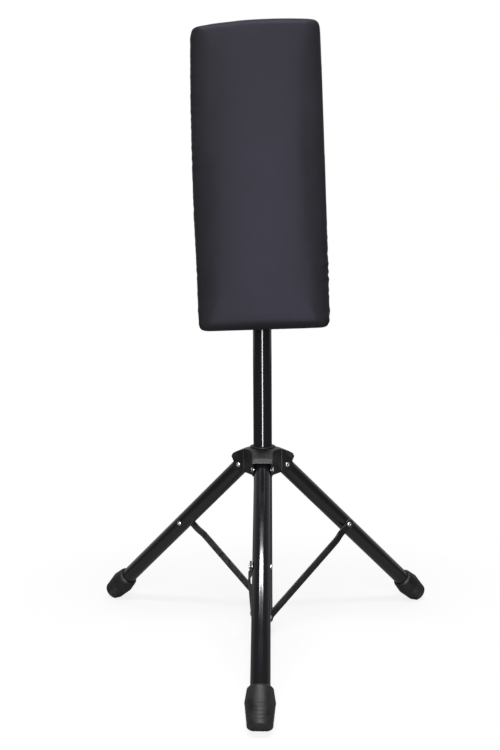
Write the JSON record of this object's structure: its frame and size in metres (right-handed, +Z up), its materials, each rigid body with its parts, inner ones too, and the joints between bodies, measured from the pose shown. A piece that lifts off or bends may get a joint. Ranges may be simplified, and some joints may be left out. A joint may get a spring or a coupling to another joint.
{
  "type": "folding tripod rest stand",
  "caption": "Folding tripod stand with a telescopic swivelling post and a tilting padded leather rest, legs braced to the post and hinged on a sliding hub.",
  "frame": {"origin": "on the floor, at the middle of the footprint of the three open legs", "axes": "+Z up the post, -Y towards the front leg and the side that the padded rest faces, +X to the right seen from the front"},
  "size_m": [0.5408, 0.4726, 0.8919],
  "materials": {
    "gloss_black_paint": "gloss",
    "satin_black_paint": "satin",
    "moulded_black": "satin",
    "knob_black": "satin",
    "nylon_black": "matte",
    "rubber_black": "matte",
    "zinc_plate": "polished",
    "brass_insert": "satin",
    "black_leather": "satin",
    "black_felt": "matte",
    "cream_foam": "matte",
    "plywood": "matte"
  },
  "bodies": {
    "column": {"centre_column": "gloss_black_paint", "column_end_plug": "nylon_black", "height_collar": "moulded_black", "collar_insert": "brass_insert", "brace_pivot_rivet_front": "zinc_plate", "brace_spacer_front": "nylon_black", "brace_pivot_rivet_right": "zinc_plate", "brace_spacer_right": "nylon_black", "brace_pivot_rivet_left": "zinc_plate", "brace_spacer_left": "nylon_black"},
    "hub": {"leg_hub": "moulded_black", "hub_bush": "nylon_black", "hub_nut": "zinc_plate", "leg_pivot_rivet_front": "zinc_plate", "leg_pivot_rivet_right": "zinc_plate", "leg_pivot_rivet_left": "zinc_plate"},
    "hub_knob": {"hub_knob_grip": "knob_black", "hub_knob_stud": "zinc_plate"},
    "height_knob": {"height_knob_grip": "knob_black", "height_knob_stud": "zinc_plate"},
    "glide": {"mast_glide": "nylon_black"},
    "mast": {"mast_tube": "gloss_black_paint", "mast_head": "satin_black_paint", "mast_head_pin": "zinc_plate"},
    "pad": {"tilt_bracket": "satin_black_paint", "tilt_bolt": "zinc_plate", "tilt_washer_left": "zinc_plate", "tilt_washer_right": "zinc_plate", "pad_cover": "black_leather", "pad_foam": "cream_foam", "pad_board": "plywood", "pad_back_cover": "black_felt", "bracket_screw_1": "zinc_plate", "tee_nut_1": "zinc_plate", "bracket_screw_2": "zinc_plate", "tee_nut_2": "zinc_plate", "bracket_screw_3": "zinc_plate", "tee_nut_3": "zinc_plate", "bracket_screw_4": "zinc_plate", "tee_nut_4": "zinc_plate"},
    "tilt_lever": {"tilt_knob": "knob_black"},
    "front_leg": {"leg_tube_front": "gloss_black_paint", "leg_top_plug_front": "nylon_black", "foot_front": "rubber_black", "brace_rivet_tail_front": "zinc_plate"},
    "front_brace": {"brace_front": "satin_black_paint", "brace_rivet_head_front": "zinc_plate"},
    "right_leg": {"leg_tube_right": "gloss_black_paint", "leg_top_plug_right": "nylon_black", "foot_right": "rubber_black", "brace_rivet_tail_right": "zinc_plate"},
    "right_brace": {"brace_right": "satin_black_paint", "brace_rivet_head_right": "zinc_plate"},
    "left_leg": {"leg_tube_left": "gloss_black_paint", "leg_top_plug_left": "nylon_black", "foot_left": "rubber_black", "brace_rivet_tail_left": "zinc_plate"},
    "left_brace": {"brace_left": "satin_black_paint", "brace_rivet_head_left": "zinc_plate"}
  },
  "joints": [
    {"name": "hub_slide", "type": "slide", "parent": "column", "child": "hub", "axis": [0, 0, 1], "range_m": [0, 0.11471]},
    {"name": "hub_knob_turn", "type": "hinge", "parent": "hub", "child": "hub_knob", "pos_m": [0, 0.103, 0.267], "axis": [0, 1, 0], "range_deg": [0, 360]},
    {"name": "front_leg_fold", "type": "hinge", "parent": "hub", "child": "front_leg", "pos_m": [0, 0.0385, 0.26], "axis": [1, 0, 0], "range_deg": [0, 43.98]},
    {"name": "right_leg_fold", "type": "hinge", "parent": "hub", "child": "right_leg", "pos_m": [0.02988, 0.09025, 0.26], "axis": [-0.5, 0.866, 0], "range_deg": [0, 43.98]},
    {"name": "left_leg_fold", "type": "hinge", "parent": "hub", "child": "left_leg", "pos_m": [-0.02988, 0.09025, 0.26], "axis": [-0.5, -0.866, 0], "range_deg": [0, 43.98]},
    {"name": "front_brace_fold", "type": "hinge", "parent": "column", "child": "front_brace", "pos_m": [-0.01765, 0.073, 0.029], "axis": [-1, 0, 0], "range_deg": [0, 37.91]},
    {"name": "right_brace_fold", "type": "hinge", "parent": "column", "child": "right_brace", "pos_m": [0.00882, 0.05772, 0.029], "axis": [0.5, -0.866, 0], "range_deg": [0, 37.91]},
    {"name": "left_brace_fold", "type": "hinge", "parent": "column", "child": "left_brace", "pos_m": [0.00882, 0.08829, 0.029], "axis": [0.5, 0.866, 0], "range_deg": [0, 37.91]},
    {"name": "height_knob_turn", "type": "hinge", "parent": "column", "child": "height_knob", "pos_m": [0, 0.103, 0.503], "axis": [0, 1, 0], "range_deg": [0, 360]},
    {"name": "mast_height", "type": "slide", "parent": "column", "child": "glide", "axis": [0, 0, 1], "range_m": [-0.065, 0.17]},
    {"name": "mast_swivel", "type": "hinge", "parent": "glide", "child": "mast", "pos_m": [0, 0.073, 0.4], "axis": [0, 0, 1], "continuous": true},
    {"name": "pad_tilt", "type": "hinge", "parent": "mast", "child": "pad", "pos_m": [0, 0.073, 0.675], "axis": [-1, 0, 0], "range_deg": [-3.8, 86.2]},
    {"name": "tilt_knob_turn", "type": "hinge", "parent": "pad", "child": "tilt_lever", "pos_m": [0.02, 0.073, 0.675], "axis": [1, 0, 0], "range_deg": [0, 360]}
  ],
  "couplings": [
    {"joint": "front_leg_fold", "follows": "hub_slide", "rad_per_m": 6.6901},
    {"joint": "right_leg_fold", "follows": "hub_slide", "rad_per_m": 6.6901},
    {"joint": "left_leg_fold", "follows": "hub_slide", "rad_per_m": 6.6901},
    {"joint": "front_brace_fold", "follows": "hub_slide", "rad_per_m": 5.7669},
    {"joint": "right_brace_fold", "follows": "hub_slide", "rad_per_m": 5.7669},
    {"joint": "left_brace_fold", "follows": "hub_slide", "rad_per_m": 5.7669}
  ]
}
